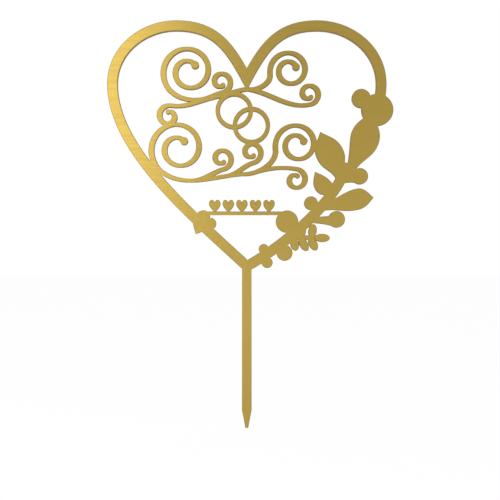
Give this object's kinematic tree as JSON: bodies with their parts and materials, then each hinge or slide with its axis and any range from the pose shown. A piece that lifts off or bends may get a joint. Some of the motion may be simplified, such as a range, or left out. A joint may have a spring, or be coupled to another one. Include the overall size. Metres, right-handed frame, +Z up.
{
  "type": "cake topper",
  "caption": "Open heart on a stake that is pushed into a cake, with a leafy branch, scrollwork, joined rings and a row of small hearts.",
  "frame": {"origin": "on the stake's centreline, in the middle of the sheet's thickness, level with the top of the cake", "axes": "+Z up along the stake, the show face looks along -Y, +X to the viewer's right"},
  "size_m": [0.1432, 0.003, 0.2039],
  "materials": {
    "frame_gold": "brushed gold metallised film on both faces of cast acrylic, laser-cut edges",
    "stake_gold": "brushed gold metallised film on both faces of cast acrylic, laser-cut edges",
    "foliage_gold": "brushed gold metallised film on both faces of cast acrylic, laser-cut edges",
    "ornament_gold": "brushed gold metallised film on both faces of cast acrylic, laser-cut edges"
  },
  "bodies": {
    "root": {"heart_frame": "frame_gold", "heart_arm": "frame_gold", "stake": "stake_gold", "berry_top_large": "foliage_gold", "side_leaf": "foliage_gold", "berry_top_small": "foliage_gold", "branch_stem": "foliage_gold", "bud_tip_upper": "foliage_gold", "bud_tip_lower": "foliage_gold", "berry_outer": "foliage_gold", "berry_inner": "foliage_gold", "bud_inner": "foliage_gold", "leaf_top": "foliage_gold", "leaf_inner_upper": "foliage_gold", "leaf_inner_lower": "foliage_gold", "leaf_outer": "foliage_gold", "bud_outer_upper": "foliage_gold", "bud_outer_lower": "foliage_gold", "fern_sprig": "foliage_gold", "side_bud": "foliage_gold", "upper_scroll_left": "ornament_gold", "heart_row": "ornament_gold", "upper_scroll_right": "ornament_gold", "ring_pair": "ornament_gold", "lower_scroll_left": "ornament_gold", "lower_scroll_right": "ornament_gold"}
  },
  "joints": []
}
